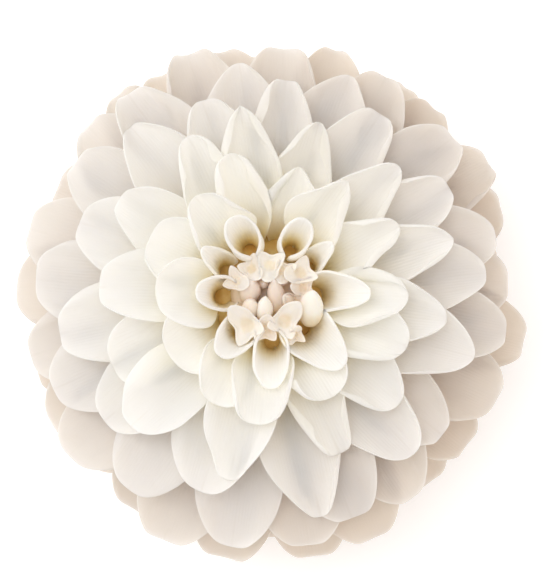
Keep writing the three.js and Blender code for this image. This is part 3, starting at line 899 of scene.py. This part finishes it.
def addTrumpet(gathering, place, trumpet):
    mouth = Vector(trumpet["mouth"])
    root = Vector((mouth.x * trumpets["rootShare"], mouth.y * trumpets["rootShare"], trumpets["rootHeight"]))
    height = (mouth - root).length
    axis = (mouth - root).normalized()
    face = math.radians(trumpet["face"])
    forward = Vector((math.cos(face), math.sin(face), 0))
    forward = (forward - axis * forward.dot(axis)).normalized()
    beside = axis.cross(forward)
    outer = trumpets["profile"]
    inner = [(share, reach) for share, reach in reversed(outer) if share > trumpets["depth"]]
    tone = trumpets["tone"] + trumpets["toneVariety"] * chance(place, "trumpetTone")

    def lipAt(angle):
        lips = []
        for at, strength, width in trumpets["lips"]:
            away = abs((angle - at + math.pi) % math.tau - math.pi)
            lips.append(strength * max(1 - away / width, 0) ** trumpets["lipPower"])
        return max(lips)
    warmRoot = trumpets["warmRoot"]
    rings = []
    for step, (share, reach) in enumerate((*outer, *inner)):
        inside = step >= len(outer)
        grown = smooth(trumpets["lipFrom"], 1, share)
        # Painted shade, partly the florets' own golden colour: the colour mark runs lower inside the throat,
        # so the throat is tinted more golden and darker, and the outside's root is tinted part way.
        along = share - trumpets["throatShadeShift"] if inside else warmRoot + share * (1 - warmRoot)
        ring = []
        for side in range(trumpets["sides"]):
            angle = math.tau * side / trumpets["sides"] - math.pi
            lip = lipAt(angle)
            rise = share - trumpets["lipHeight"] * grown * (1 - lip)
            radius = trumpet["radius"] * reach * (1 + trumpets["lipReach"] * grown ** 2 * lip)
            radius -= trumpets["wall"] if inside else 0
            point = root + axis * (rise * height) + forward * (radius * math.cos(angle))
            point += beside * (radius * math.sin(angle))
            edge = share ** trumpets["rimPower"]
            ring.append(gathering.addPoint(point, along=along, across=angle / math.tau, edge=edge, tone=tone))
        rings.append(ring)
    for lower, upper in zip(rings, rings[1:]):
        for side in range(trumpets["sides"]):
            after = (side + 1) % trumpets["sides"]
            gathering.addFace(lower[side], lower[after], upper[after], upper[side])
    gathering.addFace(*reversed(rings[0]))
    gathering.addFace(*rings[-1])


# The low round cushion that the florets of the eye stand in.
cushion = {"radius": 8.1, "base": 0.96, "bottom": 33.8, "step": 0.3, "height": 4.2, "rings": 6, "sides": 32}


def makeCushion(finish):
    radius, shoulder, rings = cushion["radius"], cushion["bottom"] + cushion["step"], cushion["rings"]
    profile = [(0, cushion["bottom"]), (radius * cushion["base"], cushion["bottom"]), (radius, shoulder)]
    for ring in range(1, rings):
        angle = ring * math.pi / (2 * rings)
        profile.append((radius * math.cos(angle), shoulder + cushion["height"] * math.sin(angle)))
    profile.append((0, shoulder + cushion["height"]))
    gathering = Gathering()
    addTurned(gathering, profile, cushion["sides"])
    gathering.makePiece("centre_cushion", finish, "centre", "centre_florets")


def makeCentre(finish):
    makeCushion(finish)
    closed = Gathering()
    for bud in buds["places"]:
        addBud(closed, bud)
    closed.makePiece("closed_florets", finish, "centre", "centre_florets")
    opening = Gathering()
    for place, trumpet in enumerate(trumpets["places"]):
        addTrumpet(opening, place, trumpet)
    opening.makePiece("opening_florets", finish, "centre", "centre_florets")
    print("centre made")


# The two whorls of green bracts behind the bloom.
greens = {
    "leaf": shade(122, 146, 78), "pale": shade(182, 190, 122), "deep": shade(84, 112, 56),
    "driftScale": 220, "paleRoot": (0.75, 0.2), "paleStrength": 0.55, "veins": 22, "veinHeight": 0.1,
    "rows": 14, "cells": 10, "thickness": 0.55, "cup": 0.5, "taper": 0.75, "roundness": 0.1,
    "rimTurn": (0.3, 0.3), "fold": 0.6, "relief": 0.5, "rootShare": 0.6, "reachVariety": 0.06,
    "inner": {
        "count": 8, "reach": 19, "root": 11.3, "tip": 13.2, "slope": 14, "halfWidth": 3.6, "start": 0,
        "firstPiece": 300,
    },
    "outer": {
        "count": 6, "reach": 20, "root": 8.8, "tip": 5.5, "slope": -24, "halfWidth": 2.9, "start": 15,
        "firstPiece": 320,
    },
}


def makeGreenFinish():
    material, start = startFinish("bract green")
    drift = start.mottle(greens["driftScale"], 3)
    along = start.mark("along")
    color = drift.ramp(0.35, 0.68).blend(greens["deep"], greens["leaf"])
    color = (along.ramp(*greens["paleRoot"]) * greens["paleStrength"]).blend(color, greens["pale"])
    veins = (start.mark("across") * greens["veins"] + drift).sine()
    grain = {"Strength": 0.5, "Distance": greens["veinHeight"] * mm, "Height": veins + drift * 2}
    endFinish(start, {
        "Base Color": color,
        "Roughness": 0.5 + drift * 0.2, "Normal": start.node("ShaderNodeBump", {}, grain),
        "Subsurface Weight": 0.15, "Subsurface Radius": (0.6, 1.0, 0.3), "Subsurface Scale": 0.0015,
    })
    return material


def addBract(gathering, whorl, place):
    path = sweep(
        (stalk["radius"] * greens["rootShare"], whorl["root"]), 0,
        (whorl["reach"] * (1 + spread(place, "bractReach", greens["reachVariety"])), whorl["tip"]),
        math.radians(whorl["slope"]),
    )
    outline = petalOutline(greens["taper"])

    def arcAt(along):
        return whorl["halfWidth"] * outline(along)
    blade = {
        "rows": greens["rows"], "cells": greens["cells"], "thickness": greens["thickness"],
        "roundness": greens["roundness"], "arc": arcAt,
        "girth": lambda along: max(arcAt(along), leastHalfWidth) / greens["cup"],
        "nick": lambda side: 0, "rimTurn": greens["rimTurn"],
        "relief": petalRelief(whorl["firstPiece"] + place, greens["relief"], greens["fold"]),
    }
    turn = math.radians(whorl["start"] + 360 * place / whorl["count"])
    addBlade(gathering, frameOn(path, turn, 0), blade, chance(place, "bractTone"))


# The short cut end of the stalk, which widens into the calyx.
stalk = {
    "radius": 3.1, "end": 1.5, "calyxRadius": 8, "top": 12.2, "sides": 40, "ridges": 10, "ridgeHeight": 0.03,
}


def makeStalk(finish):
    radius, end, calyx, top = stalk["radius"], stalk["end"], stalk["calyxRadius"], stalk["top"]
    profile = (
        (0, end), (radius * 0.9, end), (radius, end + 0.4), (radius, top - 4.5), (radius * 1.5, top - 2),
        (calyx * 0.9, top - 0.8), (calyx, top - 0.3), (calyx * 0.95, top), (0, top),
    )
    gathering = Gathering()
    addTurned(
        gathering, profile, stalk["sides"],
        lambda turn, share: 1 + stalk["ridgeHeight"] * math.cos(turn * stalk["ridges"]),
    )
    gathering.makePiece("stalk", finish, "green", "calyx_and_stalk")


def makeGreens():
    finish = makeGreenFinish()
    for name in ("inner", "outer"):
        gathering = Gathering()
        for place in range(greens[name]["count"]):
            addBract(gathering, greens[name], place)
        gathering.makePiece(f"{name}_bracts", finish, "green", "calyx_and_stalk")
    makeStalk(finish)
    print("bracts and stalk made")


# A pale floor, soft light from the upper left, and a weaker warm light from the right.
studio = {
    "floorSize": 3000, "floorColor": shade(250, 250, 250), "floorGlow": 0.31, "worldGlow": 0.68,
    "worldColor": (1.0, 0.975, 0.95, 1),
    "lights": (
        {"name": "key", "place": (-640, 320, 480), "size": 480, "watts": 1.3, "color": (1.0, 0.99, 0.97)},
        {"name": "top", "place": (-160, 60, 700), "size": 560, "watts": 1.55, "color": (1.0, 0.98, 0.95)},
        {"name": "warm", "place": (620, -260, 420), "size": 420, "watts": 0.6, "color": (1.0, 0.74, 0.58)},
    ),
    "aim": (0, 0, 25), "bounces": 16,
}


def makeStudio():
    half = studio["floorSize"] / 2 * mm
    mesh = bpy.data.meshes.new("floor")
    corners = [(-half, -half, 0), (half, -half, 0), (half, half, 0), (-half, half, 0)]
    mesh.from_pydata(corners, [], [(0, 1, 2, 3)])
    floor = bpy.data.objects.new("floor", mesh)
    bpy.context.collection.objects.link(floor)
    material, start = startFinish("floor paper")
    endFinish(start, {
        "Base Color": studio["floorColor"], "Roughness": 0.9, "Specular IOR Level": 0.1,
        "Emission Color": (1, 1, 1, 1), "Emission Strength": studio["floorGlow"],
    })
    mesh.materials.append(material)

    aim = Vector(studio["aim"]) * mm
    for light in studio["lights"]:
        lamp = bpy.data.lights.new(light["name"], "AREA")
        lamp.shape = "DISK"
        lamp.size = light["size"] * mm
        lamp.energy = light["watts"]
        lamp.color = light["color"]
        holder = bpy.data.objects.new(light["name"], lamp)
        holder.location = Vector(light["place"]) * mm
        holder.rotation_euler = (aim - holder.location).to_track_quat("-Z", "Y").to_euler()
        bpy.context.collection.objects.link(holder)

    world = bpy.data.worlds.new("studio")
    world.use_nodes = True
    glow = world.node_tree.nodes["Background"].inputs
    glow["Color"].default_value = studio["worldColor"]
    glow["Strength"].default_value = studio["worldGlow"]
    scene = bpy.context.scene
    scene.world = world
    scene.view_settings.view_transform = "Standard"
    scene.cycles.diffuse_bounces = studio["bounces"]  # white petals light each other many times over
    scene.cycles.max_bounces = studio["bounces"]
    print("studio made")


# Looking down on the bloom, a little from the front.
camera = {"target": (2.05, 1.85, 27), "elevation": 84.6, "distance": 346, "lens": 100.1}


def makeCamera():
    elevation = math.radians(camera["elevation"])
    back = Vector((0, -math.cos(elevation), math.sin(elevation)))
    lens = bpy.data.cameras.new("camera")
    lens.lens = camera["lens"]
    holder = bpy.data.objects.new("camera", lens)
    holder.location = (Vector(camera["target"]) + back * camera["distance"]) * mm
    holder.rotation_euler = (-back).to_track_quat("-Z", "Y").to_euler()
    bpy.context.collection.objects.link(holder)
    bpy.context.scene.camera = holder
    print("camera made")


makeCamera()
makeRolledFlorets(makePetalFinish("rolled floret", rolledFlorets["clawEnd"]))
makeOpenPetals(makePetalFinish("petal", openPetals["clawEnd"]))
makeReceptacle()
makeCentre(makeBudFinish())
makeGreens()
makeStudio()
